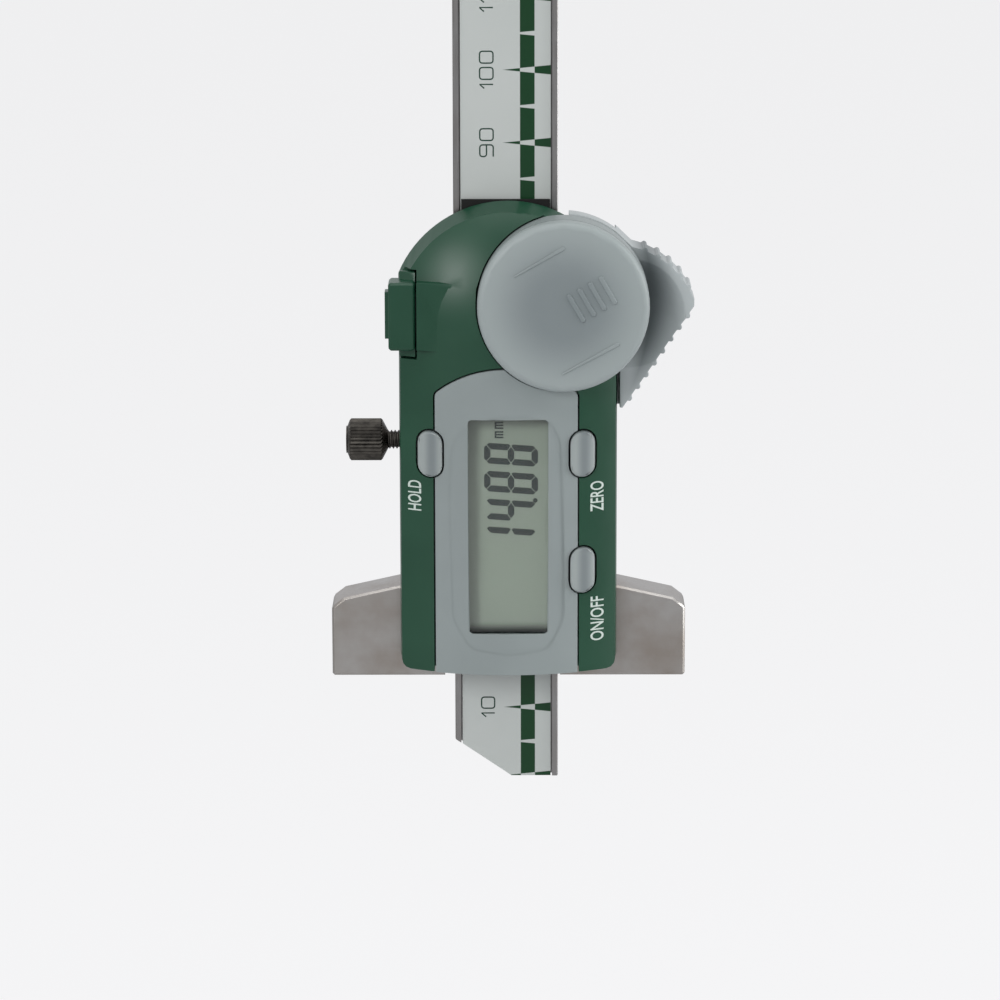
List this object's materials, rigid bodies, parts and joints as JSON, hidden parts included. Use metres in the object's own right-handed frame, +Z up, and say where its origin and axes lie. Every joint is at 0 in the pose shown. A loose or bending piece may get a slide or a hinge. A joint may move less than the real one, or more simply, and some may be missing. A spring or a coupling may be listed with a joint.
{
  "type": "digital depth gauge",
  "caption": "Digital depth gauge: flat beam with a printed scale sliding through a steel bridge, with a domed display housing, keys, round battery cap, thumb grip and knurled lock screw.",
  "frame": {"origin": "middle of the measuring face's length and height zero, in the plane of that face; the face runs from 5.9 mm in front of the origin to 1.6 mm behind it", "axes": "+Z up along the beam, away from the measuring face; -Y towards the reader of the display; +X to the reader's right"},
  "size_m": [0.0503, 0.0176, 0.2269],
  "materials": {
    "ground_steel": "ground steel, darkened by use",
    "spring_steel": "rolled spring steel",
    "black_oxide_steel": "black oxide on steel",
    "screw_steel": "plain steel",
    "brass": "turned brass",
    "green_abs": "dark green moulded plastic, satin",
    "grey_abs": "blue-grey moulded plastic, satin",
    "clear_lens": "clear moulded lens",
    "lcd_glass": "reflective liquid crystal panel",
    "label_film": "printed film, satin silver",
    "circuit_board": "solder-masked board",
    "black_epoxy": "moulded epoxy",
    "black_rubber": "soft black strip",
    "cell_steel": "nickel-plated steel",
    "gold_plate": "gold-plated contact"
  },
  "bodies": {
    "slider": {"battery": "cell_steel", "battery_contact_negative": "spring_steel", "battery_contact_positive": "spring_steel", "battery_holder": "grey_abs", "display_window": "clear_lens", "gib_screw_lower": "screw_steel", "gib_screw_upper": "screw_steel", "gib_strip": "spring_steel", "housing_front": "green_abs", "housing_screw_left_lower": "screw_steel", "housing_screw_left_upper": "screw_steel", "housing_screw_right_lower": "screw_steel", "housing_screw_right_upper": "screw_steel", "key_switch_hold": "cell_steel", "key_switch_power": "cell_steel", "key_switch_zero": "cell_steel", "lcd_bezel": "grey_abs", "lcd_panel": "lcd_glass", "lower_wiper": "black_rubber", "main_chip": "black_epoxy", "main_pcb": "circuit_board", "port_connector": "black_epoxy", "port_contact_1": "gold_plate", "port_contact_2": "gold_plate", "port_contact_3": "gold_plate", "port_contact_4": "gold_plate", "quartz_crystal": "cell_steel", "slider_frame": "ground_steel", "thumb_grip": "grey_abs", "upper_wiper": "black_rubber", "zebra_strip_left": "black_rubber", "zebra_strip_right": "black_rubber"},
    "beam": {"main_beam": "ground_steel", "scale_strip": "circuit_board", "scale_label": "label_film", "beam_stop_plate": "ground_steel", "stop_screw_left": "screw_steel", "stop_screw_right": "screw_steel"},
    "lock_pad": {"lock_pad": "brass"},
    "lock_screw": {"lock_screw": "black_oxide_steel"},
    "battery_cap": {"battery_cap": "grey_abs"},
    "port_cover": {"port_cover": "green_abs"},
    "key_hold": {"button_hold": "grey_abs"},
    "key_zero": {"button_zero": "grey_abs"},
    "key_power": {"button_power": "grey_abs"}
  },
  "joints": [
    {"name": "beam_slide", "type": "slide", "parent": "slider", "child": "beam", "axis": [0, 0, -1], "range_m": [-0.01488, 0.13512]},
    {"name": "lock_pad_slide", "type": "slide", "parent": "slider", "child": "lock_pad", "axis": [1, 0, 0], "range_m": [-0.0005, 0.00025]},
    {"name": "lock_screw_turn", "type": "hinge", "parent": "lock_pad", "child": "lock_screw", "pos_m": [-0.0175, -0.00345, 0.03338], "axis": [1, 0, 0], "range_deg": [-361, 181]},
    {"name": "hold_press", "type": "slide", "parent": "slider", "child": "key_hold", "axis": [0, 1, 0], "range_m": [0, 0.0005], "stiffness_N_per_m": 2000},
    {"name": "zero_press", "type": "slide", "parent": "slider", "child": "key_zero", "axis": [0, 1, 0], "range_m": [0, 0.0005], "stiffness_N_per_m": 2000},
    {"name": "power_press", "type": "slide", "parent": "slider", "child": "key_power", "axis": [0, 1, 0], "range_m": [0, 0.0005], "stiffness_N_per_m": 2000},
    {"name": "port_cover_slide", "type": "slide", "parent": "slider", "child": "port_cover", "axis": [-1, 0, 0], "range_m": [0, 0.008]},
    {"name": "battery_cap_slide", "type": "slide", "parent": "slider", "child": "battery_cap", "axis": [0.8704, 0, 0.4924], "range_m": [0, 0.024]}
  ],
  "couplings": [
    {"joint": "lock_screw_turn", "follows": "lock_pad_slide", "rad_per_m": 12566}
  ]
}
